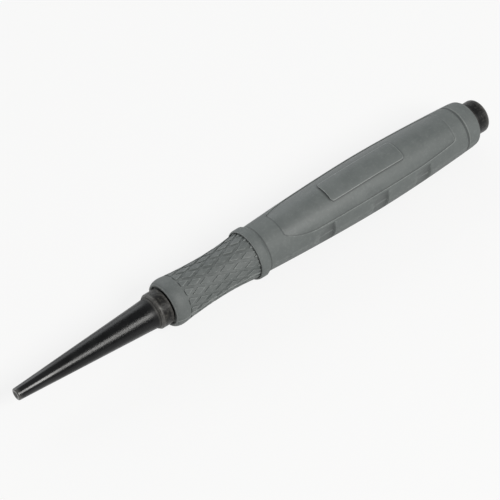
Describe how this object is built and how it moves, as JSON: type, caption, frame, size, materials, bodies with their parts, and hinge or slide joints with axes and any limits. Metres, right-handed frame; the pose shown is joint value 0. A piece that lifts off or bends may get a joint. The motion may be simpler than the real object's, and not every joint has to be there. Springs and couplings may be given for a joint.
{
  "type": "nail set",
  "caption": "Turned steel nail set in a moulded grip: tapered nose with cupped tip, textured front sleeve, swelling handle with sunk panels, bare striking end.",
  "frame": {"origin": "centre of the tip, on the axis", "axes": "+X along the axis from the tip to the striking end, +Z square to the axis through the middle of the upper panel and its plate, -Y to the side rail that faces the camera in the picture"},
  "size_m": [0.152, 0.0156, 0.0153],
  "materials": {
    "steel": "turned carbon steel, hardened and oil-blackened, worn on the edges",
    "sleeve": "matt moulded elastomer, mid grey, raised lozenge pads",
    "handle": "matt moulded elastomer, mid grey, finely pitted"
  },
  "bodies": {
    "root": {"punch": "steel", "front_sleeve": "sleeve", "handle": "handle"}
  },
  "joints": []
}
